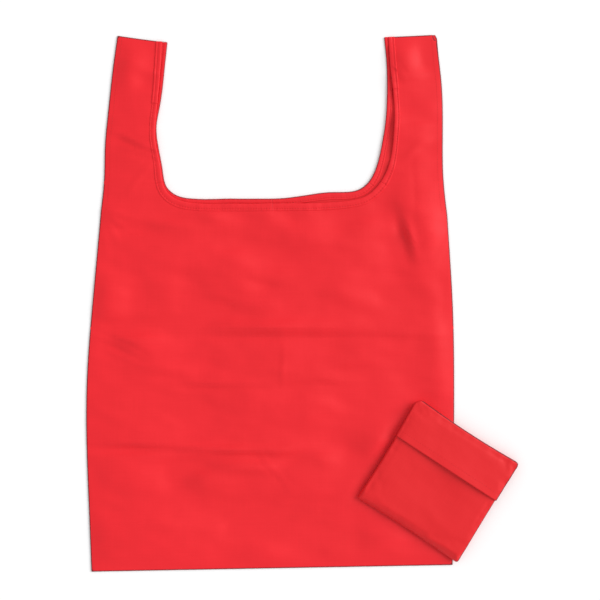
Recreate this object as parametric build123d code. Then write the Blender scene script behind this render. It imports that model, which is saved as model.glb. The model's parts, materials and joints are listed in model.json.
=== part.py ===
from build123d import *
import os

# Vest-style foldable tote bag lying on its back, and its small square pouch lying on its lower right corner.
# Millimetres.  +X is the bag's right as it lies, +Y runs from the bottom seam to the handles, +Z is up.
# The origin is on the back panel's underside, in the middle of the body.

# Cloth and layers, from the surface that the bag lies on upwards.
cloth = 0.8
inside_gap = 1.0
back_z = 0.0
front_z = back_z + cloth + inside_gap
bag_top_z = front_z + cloth
hem_turn = 0.4
tape = 0.5

# Widths of what is sewn along the edges.
seam_width = 6.0
tape_width = 8.0
tape_wrap = 1.2
top_seam_width = 8.0

# Body outline: corners and the points that its gentle curves pass through.
bottom_left = (-187.5, -193.0)
left_bulge = (-193.0, -40.0)
left_underarm = (-178.0, 184.0)
left_strap_bend = (-173.5, 252.0)
left_strap_outer = (-160.5, 364.0)
left_strap_inner = (-109.0, 357.0)
right_strap_inner = (117.0, 362.5)
right_strap_outer = (171.5, 364.5)
right_strap_bend = (178.0, 262.0)
right_underarm = (182.5, 176.0)
right_bulge = (190.0, -20.0)
bottom_right = (188.0, -186.0)

# Necklines, from the top of the left strap round to the top of the right strap.
back_neck = [
    left_strap_inner,
    (-117.5, 295.0),
    (-120.5, 264.0),
    (-114.5, 218.0),
    (-98.0, 197.5),
    (-76.0, 194.0),
    (0.0, 194.8),
    (64.0, 200.8),
    (94.5, 206.0),
    (110.5, 232.0),
    (118.5, 277.0),
    (120.0, 318.0),
    right_strap_inner,
]
front_neck = [
    (-114.5, 357.7),
    (-119.0, 292.0),
    (-122.0, 262.0),
    (-116.5, 216.0),
    (-101.0, 194.5),
    (-76.0, 189.0),
    (0.0, 189.2),
    (66.0, 190.6),
    (97.0, 196.5),
    (118.5, 220.0),
    (125.8, 256.0),
    (127.6, 284.0),
    (124.0, 327.0),
    (121.5, 362.6),
]
neck_cut_y = 400.0

# Where the cloth folds, and the clearance between the pieces on each side of a fold.
body_fold_y = 53.0
handle_fold_y = 216.0
mouth_hinge_y = 60.0
mouth_left_x = -97.0
mouth_right_x = 97.0
fold_clearance = 0.8
reach = 500.0

# The sewn edges lie outside these two X values, and the necklines inside them.
left_edge_limit = -140.0
right_edge_limit = 150.0

# Where the strap tape ends over the neck tape.
left_tape_end_y = 293.0
right_tape_end_y = 308.0

# Pouch: a filled square with a fold-over flap, turned clockwise.
pouch_width = 122.0
pouch_height = 119.5
pouch_corner = 5.0
pouch_centre = (172.3, -98.9)
pouch_turn = -31.5
pouch_lift = 0.3
pouch_filling = 6.0
pouch_mouth_y = 52.0
mouth_hem_width = 8.0
flap_depth = 44.0
flap_hem_width = 9.0
flap_clearance = 0.3
flap_hem = 0.3
pouch_z = bag_top_z + pouch_lift
filling_z = pouch_z + cloth
pouch_front_z = filling_z + pouch_filling
pouch_top_z = pouch_front_z + cloth
flap_z = pouch_top_z + flap_clearance + flap_hem

# Folded bag inside the pouch: one strip of cloth laid to and fro.
packed_layers = 5
packed_cloth = 0.9
packed_space = 0.3
packed_margin = 2.5

os.makedirs("parts", exist_ok=True)


def save(name, part):
    """Writes one named piece, which is one solid, to its own file."""
    solid = part.solids()[0]
    solid.label = name
    export_step(solid, f"parts/{name}.step")


def rectangle(x_low, x_high, y_low, y_high):
    """A rectangle between two X and two Y values."""
    centre = ((x_low + x_high) / 2, (y_low + y_high) / 2)
    return Pos(*centre) * Rectangle(x_high - x_low, y_high - y_low)


def block(x_low, x_high, y_low, y_high):
    """A tall block between two X and two Y values, used to keep one part of a plate."""
    return plate(rectangle(x_low, x_high, y_low, y_high), -reach, 2 * reach)


def plate(region, z, height):
    """A flat region raised to a plate that starts at z."""
    return extrude(Pos(0, 0, z) * region, amount=height, dir=(0, 0, 1))


def body_region(inset):
    """The body and both straps before the neckline is cut out, the sewn edges moved inwards by inset."""
    low_left = (bottom_left[0] + inset, bottom_left[1] + inset)
    low_right = (bottom_right[0] - inset, bottom_right[1] + inset)
    left = [(x + inset, y) for x, y in (left_bulge, left_underarm, left_strap_bend, left_strap_outer)]
    right = [(x - inset, y) for x, y in (right_strap_outer, right_strap_bend, right_underarm, right_bulge)]
    edges = [
        Spline(low_left, left[0], left[1]),
        Spline(left[1], left[2], left[3]),
        Line(left[3], left_strap_inner),
        Line(left_strap_inner, right_strap_inner),
        Line(right_strap_inner, right[0]),
        Spline(right[0], right[1], right[2]),
        Spline(right[2], right[3], low_right),
        Line(low_right, low_left),
    ]
    return make_face(edges)


def moved_outwards(points, distance):
    """The neckline's points, each moved square to the neckline, away from the opening."""
    moved = []
    last = len(points) - 1
    for index, (x, y) in enumerate(points):
        before = points[max(index - 1, 0)]
        after = points[min(index + 1, last)]
        along = Vector(after[0] - before[0], after[1] - before[1]).normalized()
        moved.append((x + along.Y * distance, y - along.X * distance))
    return moved


def neck_region(points, distance):
    """The space between the straps, its curved edge moved outwards by a distance."""
    curve = moved_outwards(points, distance)
    left_top = (curve[0][0], neck_cut_y)
    right_top = (curve[-1][0], neck_cut_y)
    edges = [
        Line(left_top, curve[0]),
        Spline(*curve),
        Line(curve[-1], right_top),
        Line(right_top, left_top),
    ]
    return make_face(edges)


body = body_region(0)
edge_band = body - body_region(seam_width)

half = fold_clearance / 2
below_fold = block(-reach, reach, -reach, body_fold_y - half)
above_fold = block(-reach, reach, body_fold_y + half, handle_fold_y - half)
mouth = block(mouth_left_x + half, mouth_right_x - half, mouth_hinge_y + half, reach)
mouth_window = block(mouth_left_x - half, mouth_right_x + half, mouth_hinge_y - half, reach)
beside_mouth = {
    "left": block(-reach, mouth_left_x - half, -reach, reach),
    "right": block(mouth_right_x + half, reach, -reach, reach),
}
handle = {
    "left": block(-reach, 0, handle_fold_y + half, reach),
    "right": block(0, reach, handle_fold_y + half, reach),
}
side_half = {
    "left": block(-reach, left_edge_limit, -reach, reach),
    "right": block(right_edge_limit, reach, -reach, reach),
}
layer_z = {"back": back_z, "front": front_z}
hem_z = {"back": back_z + cloth, "front": front_z - hem_turn}
necks = {"back": back_neck, "front": front_neck}
panels = {}
bindings = {}
for layer in ("back", "front"):
    region = body - neck_region(necks[layer], tape_wrap)
    panels[layer] = plate(region, layer_z[layer], cloth)
    tape_region = (neck_region(necks[layer], tape_width) - neck_region(necks[layer], 0)) & body
    bindings[layer] = plate(tape_region, layer_z[layer], cloth + tape) - panels[layer]
seam_plate = plate(edge_band, back_z + cloth, inside_gap)
inside_region = body - neck_region(back_neck, tape_width) - neck_region(front_neck, tape_wrap)
between_panels = plate(inside_region, back_z + cloth, inside_gap)


def between(y_low, y_high):
    """A stretch of the bag between two Y values, over its whole width."""
    return block(-reach, reach, y_low, y_high)


def keep(solid, *limits):
    """The part of a solid that lies inside every limit."""
    for limit in limits:
        solid = solid & limit
    return solid


def outer_hem(layer, side, y_low, y_high):
    """The turned edge of a strap, on the inner face of its panel."""
    return keep(plate(edge_band, hem_z[layer], hem_turn), side_half[side], between(y_low, y_high))


seam_bottom_y = bottom_right[1] + 2 * seam_width
underarm_y = {"left": left_underarm[1], "right": right_underarm[1]}
strap_top_y = {"left": left_strap_inner[1], "right": right_strap_inner[1]}
tape_end_y = {"left": left_tape_end_y, "right": right_tape_end_y}

# Lower half of the body, below the fold.
save("back_panel_lower", keep(panels["back"], below_fold))
save("front_panel_lower", keep(panels["front"], below_fold))
save("bottom_seam", keep(seam_plate, between(-reach, seam_bottom_y)))

# Upper half of the body, up to the roots of the handles.
save("back_panel_upper", keep(panels["back"], above_fold))
save("back_neck_binding", keep(bindings["back"], above_fold))
save("front_panel_upper", keep(panels["front"], above_fold) - mouth_window)

# Middle of the upper front panel, which lifts as the mouth opens.
save("front_panel_mouth", keep(panels["front"], above_fold, mouth))
save("front_neck_binding_middle", keep(bindings["front"], above_fold, mouth))

for side in ("left", "right"):
    seam = keep(seam_plate, side_half[side])
    save(f"{side}_side_seam_lower", keep(seam, between(seam_bottom_y, body_fold_y - half)))
    save(f"{side}_side_seam_upper", keep(seam, between(body_fold_y + half, underarm_y[side])))
    save(f"front_neck_binding_{side}", keep(bindings["front"], above_fold, beside_mouth[side]))

    # Handle: a front and a back strap, sewn together at the top.
    joint_y = tape_end_y[side]
    top_y = strap_top_y[side] - top_seam_width
    for layer in ("back", "front"):
        strap_binding = keep(bindings[layer], handle[side])
        save(f"{side}_{layer}_strap", keep(panels[layer], handle[side]))
        save(f"{side}_{layer}_neck_tape", keep(strap_binding, between(handle_fold_y, joint_y)))
        save(f"{side}_{layer}_strap_tape", keep(strap_binding, between(joint_y, reach)))
        save(f"{side}_{layer}_hem_root", outer_hem(layer, side, underarm_y[side], handle_fold_y - half))
        save(f"{side}_{layer}_hem", outer_hem(layer, side, handle_fold_y + half, top_y))
    save(f"{side}_strap_top_seam", keep(between_panels, handle[side], between(top_y, reach)))


def on_pouch(solid):
    """Turns a pouch piece and puts it on the bag's corner."""
    return Pos(*pouch_centre) * Rot(0, 0, pouch_turn) * solid


pouch_top_y = pouch_height / 2
pouch_outline = RectangleRounded(pouch_width, pouch_height, pouch_corner)
pouch_inside = RectangleRounded(pouch_width - 2 * cloth, pouch_height - 2 * cloth, pouch_corner - cloth)
pouch_wall = pouch_outline - pouch_inside
side_x = pouch_width / 2 - cloth

# Pouch: back, front, its sewn sides, the fold at the bottom and the root of the flap.
save("pouch_back_panel", on_pouch(plate(pouch_outline, pouch_z, cloth)))
front_limit = rectangle(-reach, reach, -reach, pouch_mouth_y)
save("pouch_front_panel", on_pouch(plate(pouch_outline & front_limit, pouch_front_z, cloth)))
hem_limit = rectangle(-side_x, side_x, pouch_mouth_y - mouth_hem_width, pouch_mouth_y)
save("pouch_mouth_hem", on_pouch(plate(hem_limit, pouch_front_z - hem_turn, hem_turn)))
bend = pouch_top_y - pouch_corner
walls = {
    "pouch_left_seam": rectangle(-reach, -side_x, -bend, bend),
    "pouch_right_seam": rectangle(side_x, reach, -bend, bend),
    "pouch_bottom_fold": rectangle(-reach, reach, -reach, -bend),
    "pouch_flap_root": rectangle(-reach, reach, bend, reach),
}
for name, limit in walls.items():
    save(name, on_pouch(plate(pouch_wall & limit, filling_z, pouch_filling)))

# Flap: hinged along the pouch's top edge, with its free edge turned under.
flap_limit = rectangle(-reach, reach, pouch_top_y - flap_depth, reach)
flap_region = pouch_outline & flap_limit
save("pouch_flap", on_pouch(plate(flap_region, flap_z, cloth)))
free_edge_y = pouch_top_y - flap_depth
flap_hem_region = rectangle(-side_x, side_x, free_edge_y, free_edge_y + flap_hem_width)
save("pouch_flap_hem", on_pouch(plate(flap_hem_region, flap_z - flap_hem, flap_hem)))

# Folded bag: layers laid to and fro, joined by a fold at alternate ends.
packed_width = pouch_width - 2 * cloth - 2 * packed_margin
packed_depth = pouch_mouth_y - mouth_hem_width + pouch_top_y - cloth - 2 * packed_margin
packed_centre_y = (pouch_mouth_y - mouth_hem_width - pouch_top_y + cloth) / 2
packed = None
for index in range(packed_layers):
    z = filling_z + packed_space / 2 + index * (packed_cloth + packed_space)
    layer_plate = plate(Pos(0, packed_centre_y) * Rectangle(packed_width, packed_depth), z, packed_cloth)
    packed = layer_plate if packed is None else packed + layer_plate
    if index:
        fold_side = 1 if index % 2 else -1
        fold_y = packed_centre_y + fold_side * (packed_depth - packed_cloth) / 2
        fold = Pos(0, fold_y) * Rectangle(packed_width, packed_cloth)
        packed = packed + plate(fold, z - packed_space, packed_space)
save("packed_bag", on_pouch(packed))
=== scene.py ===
import json
import math

import bmesh
import bpy
import numpy as np
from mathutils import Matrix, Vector, noise
from mathutils.geometry import delaunay_2d_cdt
from mathutils.kdtree import KDTree


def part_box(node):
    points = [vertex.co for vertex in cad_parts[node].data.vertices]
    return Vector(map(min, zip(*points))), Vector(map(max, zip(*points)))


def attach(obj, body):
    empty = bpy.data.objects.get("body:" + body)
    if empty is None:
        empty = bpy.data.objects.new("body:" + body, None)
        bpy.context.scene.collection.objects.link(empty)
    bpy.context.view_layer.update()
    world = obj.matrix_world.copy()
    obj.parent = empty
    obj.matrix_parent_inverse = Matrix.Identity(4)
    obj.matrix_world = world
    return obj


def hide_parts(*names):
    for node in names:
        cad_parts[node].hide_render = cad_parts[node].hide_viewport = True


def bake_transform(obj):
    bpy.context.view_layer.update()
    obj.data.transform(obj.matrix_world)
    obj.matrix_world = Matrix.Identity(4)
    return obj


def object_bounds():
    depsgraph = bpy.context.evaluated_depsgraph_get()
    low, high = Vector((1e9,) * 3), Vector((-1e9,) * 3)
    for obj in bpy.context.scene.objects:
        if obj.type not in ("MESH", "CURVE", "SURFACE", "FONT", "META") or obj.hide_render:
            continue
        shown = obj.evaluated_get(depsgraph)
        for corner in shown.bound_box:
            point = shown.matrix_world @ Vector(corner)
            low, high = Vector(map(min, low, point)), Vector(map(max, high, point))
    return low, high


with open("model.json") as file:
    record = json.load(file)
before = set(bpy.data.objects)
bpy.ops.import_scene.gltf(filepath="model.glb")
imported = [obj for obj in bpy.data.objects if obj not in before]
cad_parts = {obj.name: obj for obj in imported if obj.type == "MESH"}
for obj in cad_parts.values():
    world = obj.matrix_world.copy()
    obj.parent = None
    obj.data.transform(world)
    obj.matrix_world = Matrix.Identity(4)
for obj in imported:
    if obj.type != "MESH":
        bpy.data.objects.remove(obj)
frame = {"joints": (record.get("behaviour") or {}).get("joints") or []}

# The red foldable tote bag, lying flat, with its pouch on its lower right corner.
# Shapes are worked out in millimetres in the frame's own axes, and meshes are written in metres.
MM = 0.001
cad_low, cad_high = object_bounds()

# ---------------------------------------------------------------- camera and light
VIEW_WIDTH = 0.624
LENS = 85.0
SENSOR = 36.0
VIEW_OFFSET = Vector((-1.1, 3.6, 0.0)) * MM
KEY_AZIMUTH = 14.0
KEY_ELEVATION = 31.0
KEY_STRENGTH = 2.25
KEY_SPREAD = 42.0
FILL_STRENGTH = 0.72
FLOOR_WHITE = 0.95
FLOOR_HALF = 6.0
FLOOR_DROP = 0.4 * MM


def new_object(name, data):
    """An object in the scene, over a mesh, a light or a camera."""
    made = bpy.data.objects.new(name, data)
    bpy.context.scene.collection.objects.link(made)
    return made


def make_camera():
    """A camera straight above the bag, which sees a stretch VIEW_WIDTH wide."""
    camera = new_object("camera", bpy.data.cameras.new("camera"))
    camera.data.lens = LENS
    camera.data.sensor_width = SENSOR
    camera.data.clip_end = 20.0
    centre = (cad_low + cad_high) / 2 + VIEW_OFFSET
    camera.location = (centre.x, centre.y, VIEW_WIDTH * LENS / SENSOR)
    bpy.context.scene.camera = camera


def make_sun(name, azimuth, elevation, strength, spread):
    """A soft light from far away. Azimuth is measured from +X towards +Y, and elevation from the floor."""
    light = bpy.data.lights.new(name, "SUN")
    light.energy = strength
    light.angle = math.radians(spread)
    lamp = new_object(name, light)
    a, e = math.radians(azimuth), math.radians(elevation)
    towards = Vector((math.cos(a) * math.cos(e), math.sin(a) * math.cos(e), math.sin(e)))
    lamp.rotation_euler = towards.to_track_quat("Z", "Y").to_euler()


def make_studio():
    """A white floor, an even white surround and one soft key light, low from the right."""
    world = bpy.data.worlds.new("studio")
    world.use_nodes = True
    background = world.node_tree.nodes["Background"]
    background.inputs["Color"].default_value = (1.0, 1.0, 1.0, 1.0)
    background.inputs["Strength"].default_value = FILL_STRENGTH
    bpy.context.scene.world = world
    bpy.context.scene.view_settings.view_transform = "Standard"
    bpy.context.scene.view_settings.look = "None"
    make_sun("key", KEY_AZIMUTH, KEY_ELEVATION, KEY_STRENGTH, KEY_SPREAD)

    mesh = bpy.data.meshes.new("floor")
    corners = [(FLOOR_HALF * i, FLOOR_HALF * j, 0) for i, j in ((-1, -1), (1, -1), (1, 1), (-1, 1))]
    mesh.from_pydata(corners, [], [(0, 1, 2, 3)])
    floor = new_object("floor", mesh)
    floor.location.z = -FLOOR_DROP
    material = bpy.data.materials.new("floor_white")
    material.use_nodes = True
    shader = material.node_tree.nodes["Principled BSDF"]
    shader.inputs["Base Color"].default_value = (FLOOR_WHITE, FLOOR_WHITE, FLOOR_WHITE, 1.0)
    shader.inputs["Roughness"].default_value = 0.9
    shader.inputs["Specular IOR Level"].default_value = 0.1
    mesh.materials.append(material)


make_camera()
make_studio()


# ---------------------------------------------------------------- materials
THREAD_PITCH = 0.42


def taffeta(name, red, slub=1.0, bump=1.0, rough=0.58):
    """Plain-weave polyester: fine warp and weft, slightly uneven threads, a low sheen and uneven colour,
    partly painted sheen.
    """
    material = bpy.data.materials.new(name)
    material.use_nodes = True
    nodes = material.node_tree.nodes
    links = material.node_tree.links
    shader = nodes["Principled BSDF"]
    place = nodes.new("ShaderNodeUVMap")
    place.uv_map = "cloth"
    # Random tone, partly painted sheen: green and blue swing far more than red, so the lighter patches whiten
    # as a sheen would.
    darker, lighter_with_sheen = (0.95, 0.78, 0.80), (1.04, 1.22, 1.20)

    def stretched(sx, sy, scale, detail):
        mapping = nodes.new("ShaderNodeMapping")
        mapping.inputs["Scale"].default_value = (sx, sy, 1.0)
        links.new(place.outputs["UV"], mapping.inputs["Vector"])
        texture = nodes.new("ShaderNodeTexNoise")
        texture.inputs["Scale"].default_value = scale
        texture.inputs["Detail"].default_value = detail
        links.new(mapping.outputs["Vector"], texture.inputs["Vector"])
        return texture.outputs["Fac"]

    def threads(direction):
        wave = nodes.new("ShaderNodeTexWave")
        wave.bands_direction = direction
        wave.inputs["Scale"].default_value = 1 / (THREAD_PITCH * MM * math.pi)
        wave.inputs["Distortion"].default_value = 0.6
        wave.inputs["Detail"].default_value = 1.0
        links.new(place.outputs["UV"], wave.inputs["Vector"])
        return wave.outputs["Fac"]

    def combine(operation, a, b):
        node = nodes.new("ShaderNodeMath")
        node.operation = operation
        for socket, value in zip(node.inputs, (a, b)):
            if isinstance(value, float):
                socket.default_value = value
            else:
                links.new(value, socket)
        return node.outputs[0]

    clouds = stretched(0.7, 1.5, 13.0, 4.0)
    warp_slubs = stretched(60.0, 2.0, 14.0, 2.0)
    weft_slubs = stretched(2.0, 60.0, 14.0, 2.0)
    slubs = combine("ADD", warp_slubs, weft_slubs)
    tone = combine("ADD", combine("MULTIPLY", clouds, 0.6), combine("MULTIPLY", slubs, 0.35 * slub))
    shades = nodes.new("ShaderNodeValToRGB")
    for element, position, tint in zip(shades.color_ramp.elements, (0.38, 0.92), (darker, lighter_with_sheen)):
        element.position = position
        element.color = (*(r * t for r, t in zip(red, tint)), 1.0)
    links.new(tone, shades.inputs["Fac"])
    links.new(shades.outputs["Color"], shader.inputs["Base Color"])

    weave = combine("MULTIPLY", threads("X"), threads("Y"))
    crinkle = stretched(1.0, 1.0, 320.0, 3.0)
    relief = combine("ADD", combine("MULTIPLY", weave, 0.05), combine("MULTIPLY", crinkle, 0.35))
    relief = combine("ADD", relief, combine("MULTIPLY", slubs, 0.10 * slub))
    bumps = nodes.new("ShaderNodeBump")
    bumps.inputs["Strength"].default_value = 0.35 * bump
    bumps.inputs["Distance"].default_value = 0.6 * MM
    links.new(relief, bumps.inputs["Height"])
    links.new(bumps.outputs["Normal"], shader.inputs["Normal"])

    gloss = nodes.new("ShaderNodeMapRange")
    gloss.inputs["To Min"].default_value = rough - 0.06
    gloss.inputs["To Max"].default_value = rough + 0.08
    links.new(clouds, gloss.inputs["Value"])
    links.new(gloss.outputs["Result"], shader.inputs["Roughness"])
    shader.inputs["Specular IOR Level"].default_value = 0.40
    shader.inputs["Sheen Weight"].default_value = 0.06
    shader.inputs["Sheen Roughness"].default_value = 0.4
    shader.inputs["Sheen Tint"].default_value = (1.0, 0.45, 0.45, 1.0)
    return material


# The same dye on each cloth. The back layer's red is painted darker, as painted shade for layers lying under
# others, and the edge red is painted shade for a turned edge seen end on.
BAG_RED = (0.805, 0.0065, 0.0150)
INNER_SHADE_RED = (0.75, 0.006, 0.012)
POUCH_RED = (0.73, 0.0050, 0.0095)
THREAD_RED = (0.66, 0.006, 0.011)
EDGE_SHADE_RED = (0.24, 0.002, 0.009)
bag_cloth = taffeta("bag_cloth", BAG_RED)
inner_shaded_cloth = taffeta("inner_shaded_cloth", INNER_SHADE_RED)
tape_cloth = taffeta("tape_cloth", BAG_RED, bump=1.4)
pouch_cloth = taffeta("pouch_cloth", POUCH_RED)
thread = taffeta("thread", THREAD_RED, slub=0.4, bump=1.6, rough=0.45)
painted_edge_shade = taffeta("painted_edge_shade", EDGE_SHADE_RED, slub=0.4)

# ---------------------------------------------------------------- the bag's outline, in millimetres
bottom_left = (-187.5, -193.0)
left_edge = [
    bottom_left, (-190.4, -120.0), (-192.9, -40.0), (-191.6, 20.0), (-186.2, 88.0), (-181.8, 136.0),
    (-177.6, 183.0),
]
left_strap = [
    left_edge[-1], (-174.4, 214.0), (-173.4, 250.0), (-170.5, 282.0), (-166.2, 322.0), (-160.5, 364.0),
]
strap_top_left = [(-160.5, 364.0), (-134.0, 360.2), (-109.0, 357.0)]
strap_top_right = [(117.0, 362.4), (145.0, 363.6), (169.8, 364.8)]
front_top_right = [(121.4, 362.6), (145.0, 363.7), (166.6, 364.8), (169.0, 359.6), (171.2, 358.6)]
right_strap = [(171.6, 361.0), (173.8, 338.0), (176.6, 311.0), (177.6, 262.0), (178.4, 214.0), (182.3, 177.5)]
right_edge = [
    right_strap[-1], (184.9, 138.0), (188.0, 84.0), (189.4, 20.0), (189.4, -40.0), (188.6, -120.0),
    (187.8, -186.0),
]
bottom_right = right_edge[-1]
back_neck = [
    (-109.0, 357.0), (-112.6, 322.0), (-116.8, 290.0), (-120.0, 270.0), (-118.8, 252.0), (-113.8, 224.0),
    (-109.5, 206.5), (-98.5, 197.6), (-84.0, 194.4), (-60.0, 194.0), (-35.0, 194.2), (18.0, 195.4),
    (64.0, 200.9), (92.0, 204.6), (103.0, 215.0), (110.4, 232.0), (115.4, 255.0), (118.6, 278.0),
    (120.0, 306.0), (119.6, 334.0), (117.0, 362.4),
]
front_neck = [
    (-114.6, 357.8), (-116.8, 322.0), (-119.2, 292.0), (-121.6, 270.0), (-120.4, 250.0), (-115.6, 224.0),
    (-111.0, 204.5), (-100.0, 194.2), (-86.0, 190.2), (-66.0, 189.0), (-35.0, 188.8), (18.0, 189.2),
    (58.0, 190.2), (82.0, 192.6), (96.5, 196.6), (109.0, 206.4), (119.0, 222.0), (124.6, 241.0),
    (126.6, 260.0), (127.8, 281.0), (126.4, 304.0), (124.0, 327.0), (121.4, 362.6),
]

# Where the cloth turns: the body's fold, the mouth's hinge and the handles' roots, from the joints.
joint = {j["name"]: j for j in frame["joints"]}
fold_y = joint["body_fold"]["pos_m"][1] / MM
mouth_y = joint["mouth_open"]["pos_m"][1] / MM
root_y = joint["left_handle_fold"]["pos_m"][1] / MM
fold_half = 3.5
root_half = 4.0
strap_y = root_y - root_half
mouth_ramp = 12.0
mouth_side = 112.0


def run_length(points):
    """How far along a run of points each of them is."""
    return np.concatenate(([0.0], np.cumsum(np.linalg.norm(np.diff(points, axis=0), axis=1))))


def spline(points, step):
    """A smooth curve through the points (natural cubic, by chord length), sampled about every step."""
    p = np.array(points, float)
    t = run_length(p)
    n = len(p)
    h = np.diff(t)
    matrix = np.eye(n)
    right = np.zeros((n, 2))
    for i in range(1, n - 1):
        matrix[i, i - 1] = h[i - 1]
        matrix[i, i] = 2 * (h[i - 1] + h[i])
        matrix[i, i + 1] = h[i]
        right[i] = 6 * ((p[i + 1] - p[i]) / h[i] - (p[i] - p[i - 1]) / h[i - 1])
    m = np.linalg.solve(matrix, right)
    count = max(2, int(round(t[-1] / step)) + 1)
    s = np.linspace(0.0, t[-1], count)
    k = np.clip(np.searchsorted(t, s, side="right") - 1, 0, n - 2)
    a = (t[k + 1] - s)[:, None]
    b = (s - t[k])[:, None]
    hk = h[k][:, None]
    return (
        m[k] * a**3 / (6 * hk)
        + m[k + 1] * b**3 / (6 * hk)
        + (p[k] / hk - m[k] * hk / 6) * a
        + (p[k + 1] / hk - m[k + 1] * hk / 6) * b
    )


def joined(*curves):
    """One run of points from several curves that meet end to end."""
    run = [curves[0]]
    for curve in curves[1:]:
        same = np.linalg.norm(curve[0] - run[-1][-1]) < 0.05
        run.append(curve[1:] if same else curve)
    return np.concatenate(run)


def straight(a, b, step):
    """Points from a to b, about a step apart."""
    count = max(2, int(round(math.dist(a, b) / step)) + 1)
    return np.linspace(a, b, count)


EDGE_STEP = 2.6
left_side = joined(*(spline(points, EDGE_STEP) for points in (left_edge, left_strap, strap_top_left)))
right_side = joined(
    spline(strap_top_right, EDGE_STEP),
    straight(strap_top_right[-1], right_strap[0], EDGE_STEP),
    spline(right_strap, EDGE_STEP),
    spline(right_edge, EDGE_STEP),
    straight(bottom_right, bottom_left, EDGE_STEP),
)
# The front strap's corner is cut a little shorter than the back's, so the back shows beside it.
front_right_side = joined(
    spline(front_top_right[:3], EDGE_STEP),
    *(straight(a, b, EDGE_STEP) for a, b in zip(front_top_right[2:4], front_top_right[3:])),
    spline([front_top_right[4]] + right_strap[1:], EDGE_STEP),
    spline(right_edge, EDGE_STEP),
    straight(bottom_right, bottom_left, EDGE_STEP),
)


def bag_outline(neck, right):
    """The closed outline of one panel, from the bottom left corner round clockwise."""
    return joined(left_side, spline(neck, EDGE_STEP), right)[:-1]


def closed(outline):
    """An outline with its first point repeated at its end."""
    return np.concatenate((outline, outline[:1]))


def nearest(points, line):
    """Distance from each point to a run of points, and how far along the run its nearest point is."""
    a = line[:-1]
    d = line[1:] - a
    length = np.linalg.norm(d, axis=1)
    start = np.concatenate(([0.0], np.cumsum(length)))[:-1]
    best = np.full(len(points), 1e9)
    along = np.zeros(len(points))
    for i in range(len(a)):
        v = points - a[i]
        t = np.clip((v @ d[i]) / max(length[i] ** 2, 1e-12), 0, 1)
        gap = np.linalg.norm(v - t[:, None] * d[i], axis=1)
        closer = gap < best
        best[closer] = gap[closer]
        along[closer] = start[i] + t[closer] * length[i]
    return best, along


def inside(points, polygon):
    """Which points lie inside a closed outline."""
    x, y = points[:, 0], points[:, 1]
    hit = np.zeros(len(points), bool)
    q = np.roll(polygon, -1, axis=0)
    for (x1, y1), (x2, y2) in zip(polygon, q):
        if y1 == y2:
            continue
        crosses = (y1 > y) != (y2 > y)
        hit ^= crosses & (x < (x2 - x1) * (y - y1) / (y2 - y1) + x1)
    return hit


def noise_of(x, y, z):
    """Blender's smooth noise at many places, any of the three given as one number for all."""
    return np.array([noise.noise(Vector(place)) for place in np.broadcast(x, y, z)])


def noise_at(points, size_x, size_y, seed, octaves=2):
    """Smooth noise from about -1 to 1, its lumps about size_x by size_y."""
    value = np.zeros(len(points))
    for octave in range(octaves):
        k = 2**octave
        value += noise_of(points[:, 0] * k / size_x, points[:, 1] * k / size_y, seed + 7.3 * octave) / k
    return value * 1.6


# ---------------------------------------------------------------- where the pouch lies, in its own axes
POUCH_A = 61.0
POUCH_B = 59.8
POUCH_TURN = math.radians(-31.5)
pouch_low, pouch_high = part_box("pouch_back_panel")
POUCH_CENTRE = (pouch_low + pouch_high) / 2 / MM
POUCH_BASE = pouch_low.z / MM - 0.2
PRESSED_Z = POUCH_BASE - 0.15


def on_pouch(points):
    """Points in the pouch's own axes, turned and moved to where it lies."""
    p = np.asarray(points, float)
    c, s = math.cos(POUCH_TURN), math.sin(POUCH_TURN)
    x = POUCH_CENTRE.x + p[:, 0] * c - p[:, 1] * s
    y = POUCH_CENTRE.y + p[:, 0] * s + p[:, 1] * c
    return np.column_stack((x, y, p[:, 2])) if p.shape[1] == 3 else np.column_stack((x, y))


def in_pouch(points):
    """Flat points of the bag, seen in the pouch's own axes."""
    c, s = math.cos(POUCH_TURN), math.sin(POUCH_TURN)
    dx, dy = points[:, 0] - POUCH_CENTRE.x, points[:, 1] - POUCH_CENTRE.y
    return np.column_stack((dx * c + dy * s, dy * c - dx * s))


# ---------------------------------------------------------------- heights of the lying cloth, in millimetres
# A crease isn't quite straight: it strays sideways by a share of its width, in waves along its length.
WOBBLE = 0.35
WOBBLE_TURNS = 5.1


def ridge(points, a, b, width, height, slant=0.0):
    """A crease from a to b: a ridge or a valley with slant 0, a step between two levels with slant 1."""
    a, b = np.array(a, float), np.array(b, float)
    d = b - a
    length = np.linalg.norm(d)
    d = d / length
    v = points - a
    along = v @ d
    across = (v[:, 1] * d[0] - v[:, 0] * d[1]) / width
    across = across + WOBBLE * np.sin(along / length * WOBBLE_TURNS + a[0])
    overshoot = np.maximum(np.maximum(-along, along - length), 0) / (0.16 * length + width)
    swell = np.sin(np.clip(along / length, 0, 1) * math.pi)
    fade = np.exp(-overshoot**2) * np.sqrt(np.clip(0.25 + swell, 0, 1))
    shape = (1 - slant) * np.exp(-(across**2)) + slant * across * np.exp(0.5 - across**2) * 1.2
    return height * shape * fade


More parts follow.
